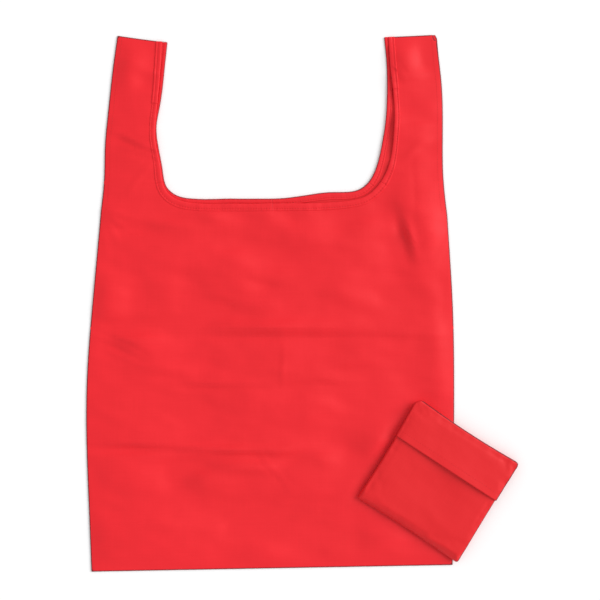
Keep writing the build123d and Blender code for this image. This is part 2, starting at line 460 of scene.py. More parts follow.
front_creases = [
    # from, to, width, height, slant
    ((-150, 58), (140, 52), 3.6, 0.85, 0.8),
    ((-95, 1), (4, 1), 3.2, 0.80, 0.8),
    ((28, 4), (72, 4), 3.0, 0.60, 0.8),
    ((-186, -62), (-10, -69), 3.2, 0.70, 0.8),
    ((10, 40), (10, 4), 2.6, 0.40, 0.6),
    ((-12, -72), (14, -104), 2.6, 0.45, 0.6),
    ((-183, 62), (-142, 42), 2.8, 0.65, 0.5),
    ((-180, 50), (-136, 30), 3.0, 0.65, 0.5),
    ((-176, 38), (-140, 22), 2.8, 0.50, 0.5),
    ((-178, 182), (-140, 174), 2.4, 0.60, 0.4),
    ((-178, 180), (-146, 160), 2.6, 0.60, 0.4),
    ((-178, 178), (-160, 150), 2.2, 0.45, 0.4),
    ((-178, 176), (-172, 138), 2.2, 0.40, 0.4),
    ((-150, 166), (-92, 164), 2.8, 0.55, 0.7),
    ((182, 178), (150, 172), 2.4, 0.50, 0.4),
    ((183, 170), (160, 150), 2.6, 0.50, 0.4),
    ((184, 162), (172, 132), 2.2, 0.40, 0.4),
    ((146, 232), (147, 176), 2.2, -0.35, 0.3),
    ((-166, 262), (-126, 246), 3.0, 0.95, 0.6),
    ((-168, 250), (-126, 238), 2.6, 0.60, 0.6),
    ((-128, 232), (-146, 206), 3.0, 0.50, 0.4),
    ((128, 330), (137, 318), 1.3, 0.75, 0.3),
    ((131, 334), (140, 323), 1.2, -0.45, 0.3),
    ((132, 318), (176, 324), 3.0, 0.65, 0.6),
    ((131, 307), (160, 309), 2.2, 0.40, 0.6),
    ((129, 266), (172, 279), 3.8, -0.75, 0.5),
    ((141, 236), (172, 262), 4.0, 0.55, 0.6),
    ((-40, 106), (-14, 104), 3.0, 0.40, 0.5),
    ((-62, -150), (-20, -128), 6.0, 0.50, 0.5),
    ((20, -140), (70, -128), 6.0, 0.40, 0.5),
]

# Broad soft tilts of the cloth: middle, half lengths, and slope along the key light (rising is darker).
front_tilts = [
    ((-145, 255), (22, 9), 0.09),
    ((-118, 164), (34, 7), 0.07),
    ((5, 151), (55, 12), 0.05),
    ((86, 163), (24, 11), 0.07),
    ((128, 188), (20, 12), 0.08),
    ((-36, 82), (36, 8), 0.08),
    ((-60, 62), (100, 8), 0.05),
    ((-152, 42), (26, 16), 0.10),
    ((81, 38), (34, 9), 0.06),
    ((-50, -20), (58, 20), 0.06),
    ((-57, -84), (42, 8), 0.11),
    ((24, -77), (20, 7), 0.08),
    ((96, -62), (36, 26), 0.09),
    ((-100, -66), (80, 5), 0.05),
    ((100, -160), (34, 12), 0.06),
    ((-148, 348), (20, 12), 0.06),
    ((-150, 288), (22, 14), 0.07),
    ((150, 290), (24, 11), 0.06),
    ((-162, 96), (26, 28), -0.09),
    ((-20, 103), (20, 6), -0.11),
    ((102, 94), (32, 10), -0.09),
    ((-90, 18), (36, 7), -0.07),
    ((52, 14), (34, 7), -0.05),
    ((-140, 318), (14, 9), -0.10),
    ((148, 342), (24, 20), -0.12),
    ((160, 236), (16, 26), -0.06),
    ((-60, -150), (80, 26), -0.04),
    ((176, 70), (12, 50), -0.06),
    ((-20, 128), (60, 12), -0.04),
    ((60, -20), (30, 16), -0.05),
    ((142, 150), (26, 34), 0.12),
    ((42, -74), (24, 10), 0.11),
    ((0, -72), (20, 8), 0.06),
    ((-83, -98), (26, 12), 0.09),
    ((-30, -174), (34, 12), 0.06),
    ((58, -172), (34, 12), 0.07),
    ((166, 0), (26, 50), 0.05),
    ((-142, 98), (24, 17), -0.08),
    ((-102, 100), (26, 17), -0.10),
    ((-44, 176), (26, 9), -0.09),
    ((6, 177), (26, 9), -0.10),
    ((52, 178), (24, 9), -0.08),
    ((-134, 336), (24, 17), -0.08),
    ((158, 336), (22, 18), -0.11),
]
CREASE_GAIN = 1.6
TILT_GAIN = 2.1
# The deep dimple by the right underarm: middle, half lengths, slope and turn.
dimple = ((139, 156), (6.0, 19.0), 0.52, math.radians(17))


def mound(x, y, middle, half):
    """1 at a middle, dying away over half lengths along x and y."""
    return np.exp(-(((x - middle[0]) / half[0]) ** 2) - ((y - middle[1]) / half[1]) ** 2)


def tilt(points, middle, half, slope, turn=0.0):
    """Cloth tilted along the key light about a middle, dying away over the half lengths."""
    d = points - np.array(middle, float)
    u = d[:, 0] * math.cos(turn) + d[:, 1] * math.sin(turn)
    v = d[:, 1] * math.cos(turn) - d[:, 0] * math.sin(turn)
    light = math.radians(KEY_AZIMUTH)
    along = d[:, 0] * math.cos(light) + d[:, 1] * math.sin(light)
    return TILT_GAIN * slope * along * mound(u, v, (0, 0), half)


def ramp(value, low, high):
    """0 below low, 1 above high and smooth between them."""
    t = np.clip((value - low) / (high - low), 0, 1)
    return t * t * (3 - 2 * t)


back_curve = spline(back_neck, EDGE_STEP)
front_curve = spline(front_neck, EDGE_STEP)


def edge_rise(distance, radius):
    """A quarter round at an edge, from 0 to 1 over the radius."""
    return np.sqrt(1 - (1 - np.clip(distance / radius, 0, 1)) ** 2)


# The front panel: low at its rim, fuller inwards, with lumps of three sizes that calm down at the rim.
RIM_Z = 0.56
RIM_LIFT, RIM_ROUND = 0.42, 1.3
FULLNESS, FULL_REACH = 2.05, 15.0
CALM_RIM = 11.0
lumps = [
    # height, size across, size up, seed, share left at the rim
    (1.30, 130.0, 60.0, 3.1, 0.0),
    (0.85, 50.0, 22.0, 11.7, 0.0),
    (0.13, 16.0, 10.0, 23.9, 0.25),
]
CREASE_RIM, TILT_RIM = 0.35, 0.2
PUCKER_PITCH, NECK_PUCKER, NECK_PUCKER_IN, PUCKER_WIDTH = 5.0, 0.30, 8.0, 7.0
RIM_PUCKER, RIM_PUCKER_PITCH = 0.18, 9.0
# By its neckline the front rests on the back's tape, and its right strap dips over the strap's top.
TAPE_REACH, TAPE_TOP = 9.0, 2.1
DIP, DIP_FROM, DIP_TO = 1.0, 312, 334
STAND = 0.5
strap_stand = ((128, 250), (20, 50))
neck_stand = ((0, 192), (120, 16))
PRESS_REACH = 15.0
SOFT_FLOOR = 0.6


def front_height(points):
    """Upper face of the front panel over the surface that the bag lies on."""
    points = np.asarray(points, float)
    x, y = points[:, 0], points[:, 1]
    side = np.minimum(nearest(points, left_side)[0], nearest(points, front_right_side)[0])
    neck, along = nearest(points, front_curve)
    z = RIM_Z + RIM_LIFT * edge_rise(side, RIM_ROUND) + FULLNESS * (1 - np.exp(-side / FULL_REACH))
    calm = 1 - np.exp(-((side / CALM_RIM) ** 2))
    for height, size_x, size_y, seed, share in lumps:
        z += (share + (1 - share) * calm) * height * noise_at(points, size_x, size_y, seed)
    for crease in front_creases:
        z += CREASE_GAIN * ridge(points, *crease) * (CREASE_RIM + (1 - CREASE_RIM) * calm)
    for middle, half, slope in front_tilts:
        z += tilt(points, middle, half, slope) * (TILT_RIM + (1 - TILT_RIM) * calm)
    z += tilt(points, *dimple)
    # Puckers square to the sewn edges.
    drawn = noise_of(along / PUCKER_PITCH, 0.0, 4.4)
    z += NECK_PUCKER * drawn * np.exp(-(((neck - NECK_PUCKER_IN) / PUCKER_WIDTH) ** 2))
    z += RIM_PUCKER * noise_of(x / RIM_PUCKER_PITCH, y / PUCKER_PITCH, 8.8) * np.exp(-side / PUCKER_WIDTH)
    # The cloth stands a little off the back at the right strap and along the neckline.
    z += STAND * mound(x, y, *strap_stand)
    z += np.exp(-neck / TAPE_REACH) * (np.maximum(z, TAPE_TOP) - z)
    z -= DIP * ramp(y, DIP_FROM, DIP_TO) * np.exp(-((neck / TAPE_REACH) ** 2)) * (x > 0)
    z += STAND * mound(x, y, *neck_stand)
    # The pouch presses the cloth down where it lies.
    away = np.maximum(np.abs(in_pouch(points)) - (POUCH_A, POUCH_B), 0)
    pressed = 1 - ramp(np.hypot(away[:, 0], away[:, 1]), 0.0, PRESS_REACH)
    z += pressed * (np.minimum(z, PRESSED_Z) - z)
    bend = RIM_Z + SOFT_FLOOR
    z = np.where(z > bend, z, RIM_Z + SOFT_FLOOR * np.exp((z - bend) / SOFT_FLOOR))
    return z - (1 - edge_rise(side, RIM_ROUND)) * np.clip(z - 1.0, 0, 1.5) * 0.5


BACK_RIM_Z, BACK_FULLNESS, BACK_FULL_REACH, BACK_LOWEST = 0.34, 0.16, 10.0, 0.30
# The back curls up along its neckline, except at the straps' tops, and puckers a little there.
CURL, CURL_REACH, CURL_RIM, CURL_TOP = 0.70, 14.0, 6.0, (312, 330)
BACK_PUCKER, BACK_PUCKER_PITCH, BACK_PUCKER_REACH = 0.10, 6.0, 12.0


def back_height(points):
    """Upper face of the back panel."""
    points = np.asarray(points, float)
    side = np.minimum(nearest(points, left_side)[0], nearest(points, right_side)[0])
    neck, along = nearest(points, back_curve)
    z = BACK_RIM_Z + BACK_FULLNESS * (1 - np.exp(-side / BACK_FULL_REACH))
    curled = np.exp(-((neck / CURL_REACH) ** 2)) * (1 - np.exp(-side / CURL_RIM))
    z += CURL * curled * (1 - ramp(points[:, 1], *CURL_TOP))
    z += BACK_PUCKER * noise_of(along / BACK_PUCKER_PITCH, 0.0, 1.2) * np.exp(-neck / BACK_PUCKER_REACH)
    return np.maximum(z, BACK_LOWEST)


# ---------------------------------------------------------------- sheets
# Rows of points at these distances inside each sheet's edge. The outermost row bounds the band of painted
# edge shade.
EDGE_ROWS = (0.95, 1.5, 2.4, 3.8)
THICK = 0.22
FLOOR_GAP = 0.02


def inset(polygon, distance):
    """The closed outline moved inwards by a distance, leaving out points that come too close to it."""
    before = np.roll(polygon, 1, axis=0)
    after = np.roll(polygon, -1, axis=0)
    d = after - before
    d /= np.linalg.norm(d, axis=1)[:, None]
    area = np.sum(polygon[:, 0] * after[:, 1] - after[:, 0] * polygon[:, 1])
    inward = np.stack((-d[:, 1], d[:, 0]), axis=1) * (1 if area > 0 else -1)
    moved = polygon + inward * distance
    gap = nearest(moved, closed(polygon))[0]
    return moved[(gap > 0.93 * distance) & inside(moved, polygon)]


def triangulated(outline, cuts, spacing):
    """Points and triangles inside a closed outline. Cuts are straight lines that no triangle crosses."""
    rows = [inset(outline, d) for d in EDGE_ROWS]
    low, high = outline.min(0), outline.max(0)
    across = np.arange(low[0], high[0], spacing)
    grid = []
    for j, y in enumerate(np.arange(low[1], high[1], spacing * 0.92)):
        grid.append(np.stack((across + (spacing / 2 if j % 2 else 0), np.full(len(across), y)), axis=1))
    grid = np.concatenate(grid)
    grid = grid[inside(grid, outline)]
    grid = grid[nearest(grid, closed(outline))[0] > EDGE_ROWS[-1] + 0.45 * spacing]
    points = [outline]
    edges = [(i, (i + 1) % len(outline)) for i in range(len(outline))]
    lines = []
    for a, b in cuts:
        line = straight(a, b, spacing * 0.8)
        lines.append(line)
        grid = grid[nearest(grid, line)[0] > 0.45 * spacing]
    free = np.concatenate(rows)
    for line in lines:
        free = free[nearest(free, line)[0] > 0.8]
    start = len(outline)
    for line in lines:
        points.append(line)
        edges += [(start + i, start + i + 1) for i in range(len(line) - 1)]
        start += len(line)
    points += [free, grid]
    vectors = [Vector(p) for p in np.concatenate(points)]
    made = delaunay_2d_cdt(vectors, edges, [list(range(len(outline)))], 1, 1e-4)
    return np.array([tuple(p) for p in made[0]]), np.array([f for f in made[2] if len(f) == 3])


def face_up(verts, faces):
    """Turns over the triangles that face down."""
    a, b, c = (verts[faces[:, i]] for i in range(3))
    turn = np.cross(b - a, c - a)[:, 2] < 0
    faces[turn] = faces[turn][:, ::-1]


def vertex_normals(verts, faces):
    """Each vertex's normal, from the triangles round it."""
    a, b, c = (verts[faces[:, i]] for i in range(3))
    n = np.cross(b - a, c - a)
    total = np.zeros_like(verts)
    for i in range(3):
        np.add.at(total, faces[:, i], n)
    return total / np.maximum(np.linalg.norm(total, axis=1), 1e-12)[:, None]


def new_mesh(name, verts, faces, flat, *materials):
    """A mesh from points in millimetres, with its flat cut shape as the UV map."""
    mesh = bpy.data.meshes.new(name)
    mesh.from_pydata([tuple(p * MM) for p in verts], [], faces)
    loops = np.zeros(len(mesh.loops), np.int32)
    mesh.loops.foreach_get("vertex_index", loops)
    uv = mesh.uv_layers.new(name="cloth")
    uv.data.foreach_set("uv", (np.asarray(flat) * MM)[loops].astype(np.float32).ravel())
    for material in materials:
        mesh.materials.append(material)
    return mesh


def smooth(mesh, flat_faces=0):
    """Smooth shading, apart from the last few faces."""
    count = len(mesh.polygons) - flat_faces
    mesh.polygons.foreach_set("use_smooth", [True] * count + [False] * flat_faces)


def edit(mesh, change):
    """Runs one change on a mesh's editable copy."""
    bm = bmesh.new()
    bm.from_mesh(mesh)
    change(bm)
    bm.to_mesh(mesh)
    bm.free()


def face_out(mesh):
    edit(mesh, lambda bm: bmesh.ops.recalc_face_normals(bm, faces=bm.faces))


def to_quads(mesh):
    """Joins pairs of triangles where they make a good four-sided face."""
    limits = {"angle_face_threshold": math.radians(35), "angle_shape_threshold": math.radians(40)}
    edit(mesh, lambda bm: bmesh.ops.join_triangles(bm, faces=bm.faces, cmp_materials=True, **limits))


def two_sided(faces, count):
    """Faces of a closed body: triangles, the same ones under them, and a wall round their rim."""
    pairs = {(t[i], t[(i + 1) % 3]): True for t in faces for i in range(3)}
    rim = [(int(a), int(b)) for a, b in pairs if (b, a) not in pairs]
    made = [tuple(map(int, t)) for t in faces]
    made += [tuple(int(i) + count for i in reversed(t)) for t in faces]
    return made + [(b, a, a + count, b + count) for a, b in rim], rim


def sheet_mesh(name, verts, normals, faces, material, outline):
    """A closed thin sheet: the given upper face, the same face under it, and a turned edge darkened with
    painted shade.
    """
    used = np.unique(faces)
    index = np.full(len(verts), -1)
    index[used] = np.arange(len(used))
    f = index[faces]
    top, n = verts[used], normals[used]
    low = top - n * THICK
    low[:, 2] = np.maximum(low[:, 2], FLOOR_GAP)
    both = np.concatenate((top, low))
    all_faces, rim = two_sided(f, len(used))
    mesh = new_mesh(name, both, all_faces, both[:, :2], material, painted_edge_shade)
    # Faces along the rim take the edge red, painted shade for the turned edge.
    at_edge = nearest(top[:, :2], closed(outline))[0] < EDGE_ROWS[0] + 0.12
    dark = np.concatenate((at_edge[f].all(axis=1), np.zeros(len(f), bool), at_edge[[a for a, b in rim]]))
    mesh.polygons.foreach_set("material_index", dark.astype(np.int32))
    mesh.validate()
    to_quads(mesh)
    smooth(mesh)
    made = new_object(name, mesh)
    mesh.normals_split_custom_set_from_vertices([tuple(v) for v in np.concatenate((n, -n))])
    corners = verts[faces][:, :, :2]
    u, w = corners[:, 1] - corners[:, 0], corners[:, 2] - corners[:, 0]
    area = float(np.sum(np.abs(u[:, 0] * w[:, 1] - u[:, 1] * w[:, 0]))) / 2 * MM * MM
    size = (top[:, :2].max(0) - top[:, :2].min(0)) * MM
    return made, (float(size[0]), float(size[1])), area


def panel(side, outline, height, material, regions, cuts, spacing):
    """One panel's upper face, cut along its turning lines into the pieces that regions name."""
    flat, faces = triangulated(outline, cuts, spacing)
    verts = np.column_stack((flat, height(flat)))
    face_up(verts, faces)
    normals = vertex_normals(verts, faces)
    centres = flat[faces].mean(1)
    pieces = {}
    for name, chosen in regions.items():
        mask = chosen(centres[:, 0], centres[:, 1])
        pieces[name] = sheet_mesh(f"{side}_{name}", verts, normals, faces[mask], material, outline)
    return pieces


grid_step = 3.6
reach_x = 230.0
front_cuts = [
    ((-reach_x, strap_y), (-100.0, strap_y)),
    ((100.0, strap_y), (reach_x, strap_y)),
    ((0.0, mouth_y), (0.0, 215.0)),
    ((-reach_x, mouth_y), (reach_x, mouth_y)),
]
straps = {
    "left_strap": lambda x, y: (x < 0) & (y > strap_y),
    "right_strap": lambda x, y: (x > 0) & (y > strap_y),
}
front_regions = {
    "lower": lambda x, y: y < mouth_y,
    "upper_left": lambda x, y: (x < 0) & (y > mouth_y) & (y < strap_y),
    "upper_right": lambda x, y: (x > 0) & (y > mouth_y) & (y < strap_y),
    **straps,
}
front_outline, back_outline = bag_outline(front_neck, front_right_side), bag_outline(back_neck, right_side)
front = panel("front", front_outline, front_height, bag_cloth, front_regions, front_cuts, grid_step)
back_regions = {"body": lambda x, y: y < strap_y, **straps}
# The back panel takes the darker red, painted shade for the layer lying under the front.
back = panel("back", back_outline, back_height, inner_shaded_cloth, back_regions, front_cuts[:2], grid_step * 1.2)

# ---------------------------------------------------------------- tapes and stitches along the necklines
STITCH = 2.7


def frame_along(curve):
    """Unit tangents and the directions square to them, into the cloth."""
    d = np.gradient(curve, axis=0)
    d /= np.linalg.norm(d, axis=1)[:, None]
    return d, np.stack((d[:, 1], -d[:, 0]), axis=1)


def tube_faces(count, around, start=0):
    """Faces round a closed tube through rings of points, with its two ends filled last."""
    faces = []
    for i in range(start, start + (count - 1) * around, around):
        for j in range(around):
            a, b = i + j, i + (j + 1) % around
            faces.append((a, b, b + around, a + around))
    first = range(start, start + around)
    return faces + [tuple(reversed(first)), tuple(i + (count - 1) * around for i in first)]


def tube(name, rings, material, flat, dark):
    """A closed tube through rings of points, the dark rows of its faces in the edge red, painted shade."""
    count, around = rings.shape[:2]
    faces = tube_faces(count, around)
    mesh = new_mesh(name, rings.reshape(-1, 3), faces, flat.reshape(-1, 2), material, painted_edge_shade)
    smooth(mesh, flat_faces=2)
    rows_round = [int(i % around in dark) for i in range(len(faces) - 2)]
    mesh.polygons.foreach_set("material_index", rows_round + [0, 0])
    face_out(mesh)
    return new_object(name, mesh)


# Profile of the folded tape: distance into the cloth and height over it, from the upper inner edge round.
tape_profile = [
    (7.4, 0.02), (7.1, 0.30), (6.4, 0.50), (5.8, 0.48), (5.3, 0.30), (4.9, 0.30), (4.2, 0.50), (2.8, 0.62),
    (1.4, 0.64), (0.5, 0.56), (-0.15, 0.36), (-0.42, 0.02), (-0.25, -0.36), (0.5, -0.52), (3.0, -0.52),
    (5.4, -0.48), (7.1, -0.30),
]
# Faces round the tape's outer fold, painted with edge shade.
FOLD_SHADE_FACES = (9, 10, 11)
GROOVE, GROOVE_WIDTH, PULL = 5.1, 1.6, 0.16
WAVE, WAVE_LENGTH = 0.16, 4.5
DRIFT, DRIFT_LENGTH = 0.30, 22.0
# On the straps the tape is rolled further over their edge, so that less of its width shows.
STRAP_ROLL, ROLL_FROM, ROLL_TO = 0.26, 205.0, 250.0
# The underside's flat cut shape lies this far beside the upper side's.
UNDER_SHIFT = 20


def tape_share(curve):
    """The share of its full width that the tape shows."""
    return 1 - STRAP_ROLL * ramp(curve[:, 1], ROLL_FROM, ROLL_TO)


def tape(name, curve, phase, height, seed, dark=(), wider=0.0, higher=0.0):
    """The folded tape along part of a neckline, drawn in at each stitch, with its own small waves."""
    _, into = frame_along(curve)
    share = tape_share(curve)
    step = run_length(curve) + phase
    pull = 0.5 + 0.5 * np.cos(2 * math.pi * step / STITCH)
    wave = noise_of(step / WAVE_LENGTH, seed, 0.3)
    drift = noise_of(step / DRIFT_LENGTH, seed, 5.3)
    rings, flat = [], []
    for d, rise in tape_profile:
        under = rise < 0
        d += wider * (d > 6) - 0.3 * wider * (d < 1)
        near_stitch = 0.0 if rise <= 0 else math.exp(-(((d - GROOVE) / GROOVE_WIDTH) ** 2))
        out = d * share + DRIFT * drift * (d < 2) + 0.22 * wave * (d > 7)
        base = np.maximum(height(curve + into * np.maximum(out, 0.5)[:, None]), 0.0)
        z = base + rise + WAVE * wave * (rise > 0.3) - PULL * near_stitch * pull + higher * (rise > 0)
        rings.append(np.column_stack((curve + into * out[:, None], np.maximum(z, 0.015 if under else 0.1))))
        flat.append(np.column_stack((step, np.full(len(step), d + UNDER_SHIFT * under))))
    rings, flat = np.array(rings).transpose(1, 0, 2), np.array(flat).transpose(1, 0, 2)
    return tube(name, rings, tape_cloth, flat, dark)


# A stitch's thread: stations along it, each a share of its length and of its radius.
thread_stations = [(-0.5, 0.25), (-0.36, 0.85), (0.0, 1.0), (0.36, 0.85), (0.5, 0.25)]
THREAD_SIDES = 6
THREAD_SAG = 0.30
STITCH_LENGTH = 2.0


def stitch_row(name, curve, distance, height, lift, phase=0.0, radius=0.24):
    """One lockstitch row: a short rounded thread for each stitch, lying along the cloth."""
    along, square = frame_along(curve)
    step = run_length(curve)
    first = (-phase) % STITCH + STITCH / 2
    places = np.arange(first, step[-1] - STITCH / 2 + 0.01, STITCH)
    line = curve + square * distance
    x, y = (np.interp(places, step, line[:, i]) for i in range(2))
    tx, ty = (np.interp(places, step, along[:, i]) for i in range(2))
    z = height(np.column_stack((x, y))) + lift
    verts, faces, flat = [], [], []
    for i, place in enumerate(places):
        t = np.array((tx[i], ty[i], 0.0))
        t /= np.linalg.norm(t)
        s = np.array((-t[1], t[0], 0.0))
        faces += tube_faces(len(thread_stations), THREAD_SIDES, len(verts))
        for share, girth in thread_stations:
            mid = np.array((x[i], y[i], z[i] - abs(share) * THREAD_SAG)) + t * share * STITCH_LENGTH
            for k in range(THREAD_SIDES):
                a = 2 * math.pi * k / THREAD_SIDES
                verts.append(mid + (s * math.cos(a) + np.array((0, 0, 1)) * math.sin(a)) * radius * girth)
                flat.append((place + share * STITCH_LENGTH, a * radius))
    verts = np.array(verts)
    verts[:, 2] = np.maximum(verts[:, 2], FLOOR_GAP)
    mesh = new_mesh(name, verts, faces, flat, thread)
    smooth(mesh)
    return new_object(name, mesh)


def stretches(points, step):
    """A neckline cut at the handles' roots and in its middle: left strap, left, right, right strap."""
    curve = spline(points, step)
    x, y = curve[:, 0], curve[:, 1]
    left_root = int(np.argmax((y < strap_y) & (x < 0)))
    right_root = len(y) - 1 - int(np.argmax(((y < strap_y) & (x > 0))[::-1]))
    middle = int(np.argmax(x > 0))
    cuts = [0, left_root, middle, right_root, len(curve) - 1]
    length = run_length(curve)
    names = ("left_strap", "left", "right", "right_strap")
    return {n: (curve[a:b + 1], length[a]) for n, a, b in zip(names, cuts[:-1], cuts[1:])}


TAPE_STEP = STITCH / 4
TAPE_SEEDS = {"front": 2.0, "back": 9.0}
HEM_STITCH, HEM_THREAD = 5.5, 0.2
# How high the middle of a thread lies over the cloth, on the tape and on a hem.
ON_TAPE, SUNK = 0.32, 0.04
tapes, rows = {}, {}
for side, points, height in (("front", front_neck, front_height), ("back", back_neck, back_height)):
    for where, (curve, phase) in stretches(points, TAPE_STEP).items():
        # Only the back's tapes get their outer fold painted with edge shade, as a dark outline.
        dark = FOLD_SHADE_FACES if side == "back" else ()
        tapes[(side, where)] = tape(f"{side}_tape_{where}", curve, phase, height, TAPE_SEEDS[side], dark)
        seam = GROOVE * tape_share(curve)[:, None]
        rows[(side, where)] = stitch_row(f"{side}_stitches_{where}", curve, seam, height, ON_TAPE, phase)

# The straps' outer edges are turned under and stitched, above and below the handles' roots.
hem_rows = {}
for side, points in (("left", left_strap), ("right", right_strap)):
    curve = spline(points, TAPE_STEP)
    for part, kept in (("strap", curve[:, 1] > strap_y), ("root", curve[:, 1] <= strap_y)):
        hem_rows[(side, part)] = stitch_row(
            f"{side}_hem_stitches_{part}", curve[kept], HEM_STITCH, front_height, SUNK, radius=HEM_THREAD
        )

# On each front strap the tape's end is lapped over itself, down to a cut end part of the way down.
LAPS = {"left": 293.0, "right": 308.0}
LAP_WIDER, LAP_HIGHER = 0.7, 0.3
for side, lap_y in LAPS.items():
    curve, phase = stretches(front_neck, TAPE_STEP)[f"{side}_strap"]
    kept = curve[:, 1] > lap_y
    phase += int(np.argmax(kept)) * TAPE_STEP
    tapes[("lap", side)] = tape(
        f"{side}_tape_lap", curve[kept], phase, front_height, TAPE_SEEDS["front"],
        wider=LAP_WIDER, higher=LAP_HIGHER,
    )

# ---------------------------------------------------------------- pieces baked in place, some attached to the bodies that move them
def on_axis(x=0.0, y=0.0):
    """A point of the lying bag, in metres."""
    return (x * MM, y * MM, 0.0)


def across_fold(piece):
    start, end = on_axis(y=fold_y - fold_half), on_axis(y=fold_y + fold_half)
    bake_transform(piece)
    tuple(start)
    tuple(end)


def across_mouth(piece, sign):
    start, end = on_axis(x=sign * mouth_side), on_axis(x=sign * mouth_ramp)
    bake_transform(piece)
    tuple(start)
    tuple(end)


def across_root(piece, side):
    start, end = on_axis(y=root_y - root_half), on_axis(y=root_y + root_half)
    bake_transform(piece)
    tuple(start)
    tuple(end)


across_fold(front["lower"][0])
across_fold(back["body"][0])
for side, sign in (("left", -1), ("right", 1)):
    across_mouth(front[f"upper_{side}"][0], sign)
    across_root(front[f"{side}_strap"][0], side)
    across_root(back[f"{side}_strap"][0], side)
    across_root(tapes[("lap", side)], side)
    across_root(hem_rows[(side, "strap")], side)
    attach(hem_rows[(side, "root")], "bag_upper")
    for made in (tapes, rows):
        across_mouth(made[("front", side)], sign)
        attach(made[("back", side)], "bag_upper")
        for layer in ("front", "back"):
            across_root(made[(layer, f"{side}_strap")], side)

# ---------------------------------------------------------------- the CAD nodes that the pieces stand in for, hidden
side_seams = [f"{side}_side_seam_lower" for side in ("left", "right")]
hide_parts("front_panel_lower", "bottom_seam", *side_seams)
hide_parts("front_panel_upper", "front_panel_mouth", "left_side_seam_upper")
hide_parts("right_side_seam_upper")
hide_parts("back_panel_lower", "back_panel_upper")
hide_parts("back_neck_binding")
for side in ("left", "right"):
    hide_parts(f"front_neck_binding_{side}")
    for layer in ("front", "back"):
        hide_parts(f"{side}_{layer}_strap", f"{side}_{layer}_hem", f"{side}_{layer}_hem_root")
        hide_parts(f"{side}_{layer}_neck_tape", f"{side}_{layer}_strap_tape")
    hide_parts(f"{side}_strap_top_seam")
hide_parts("front_neck_binding_middle")

# ---------------------------------------------------------------- the pouch, in its own axes
TOP_LEFT_CORNER, TOP_RIGHT_CORNER = 8.5, 4.5
LOW_LEFT_CORNER, LOW_RIGHT_CORNER = 2.0, 3.0
PULL_LEFT, PULL_RIGHT, PULL_TOP, PULL_LOW = 1.0, 0.5, 2.0, 1.3
LEFT_OUT = 1.8
SLANT = 0.029
TOP_RAISE = 1.7
SEAM_Z = POUCH_BASE + 1.9
WALL = 4.7
FLAP_EDGE = POUCH_B - 44.0
MOUTH = 50.0
HEM = 8.0


def drawn_in(x, y):
    """The pouch's sides pull in a little between its corners, and it is pulled slightly out of square."""
    side = np.where(x < 0, PULL_LEFT, PULL_RIGHT) * np.cos(np.clip(y / POUCH_B, -1, 1) * math.pi / 2)
    end = np.where(y < 0, PULL_LOW, PULL_TOP) * np.cos(np.clip(x / POUCH_A, -1, 1) * math.pi / 2)
    raised = TOP_RAISE * np.maximum(y, 0) / POUCH_B - SLANT * x
    out = LEFT_OUT * np.minimum(x, 0) / POUCH_A
    return x + out - side * (x / POUCH_A) ** 3, y - end * (y / POUCH_B) ** 3 + raised


def reach(y, left, out=0.0):
    """How far the pouch reaches to its left or right at a height y, its corners rounded."""
    y = np.asarray(y, float)
    corner = np.where(y > 0, TOP_LEFT_CORNER, LOW_LEFT_CORNER) if left else np.where(
        y > 0, TOP_RIGHT_CORNER, LOW_RIGHT_CORNER
    )
    over = np.clip(np.abs(y) - (POUCH_B + out - corner), 0, corner)
    return POUCH_A + out - corner + np.sqrt(corner**2 - over**2)


def row_across(shares, y, margin, out=0.0):
    """Places across the pouch at a height y: shares run from -1 at its left side to 1 at its right."""
    left, right = reach(y, True, out) - margin, reach(y, False, out) - margin
    return (right - left) / 2 + shares * (right + left) / 2


def pouch_outline_points(step):
    """The pouch's outline, each corner with its own rounding."""
    run = []
    corners = (
        (1, 1, TOP_RIGHT_CORNER), (-1, 1, TOP_LEFT_CORNER),
        (-1, -1, LOW_LEFT_CORNER), (1, -1, LOW_RIGHT_CORNER),
    )
    for quarter, (sign_x, sign_y, corner) in enumerate(corners):
        cx, cy = sign_x * (POUCH_A - corner), sign_y * (POUCH_B - corner)
        for i in range(7):
            t = math.radians(90 * quarter + 15 * i)
            run.append((cx + corner * math.cos(t), cy + corner * math.sin(t)))
    ring = run + run[:1]
    out = [ring[0]]
    for p, q in zip(ring[:-1], ring[1:]):
        out += list(straight(p, q, step)[1:])
    out = np.array(out)[:-1]
    return np.column_stack(drawn_in(out[:, 0], out[:, 1]))


pouch_outline = pouch_outline_points(2.2)
pouch_ring = closed(pouch_outline)
swelling = KDTree(0)
swollen = []


# How the upper face rises from its seams: over SIDE_ROUND, and over more in a band at the low end.
SIDE_ROUND, LOW_ROUND, LOW_BAND, LOW_FADE = 1.6, 6.0, 14.0, 12.0
PLUMP, PLUMP_EDGE = 0.5, 6.0
DISH, DISH_MIDDLE, DISH_HALF = 2.3, (-2.0, -8.0), (33.0, 25.0)
CALM_EDGE = 8.0
# Height, size along x and y, and seed.
pouch_lumps = [(0.34, 44.0, 32.0, 31.0), (0.13, 15.0, 12.0, 41.0)]
PUCKER, PUCKER_SIZE, PUCKER_SEED = 0.14, 6.0, 2.2


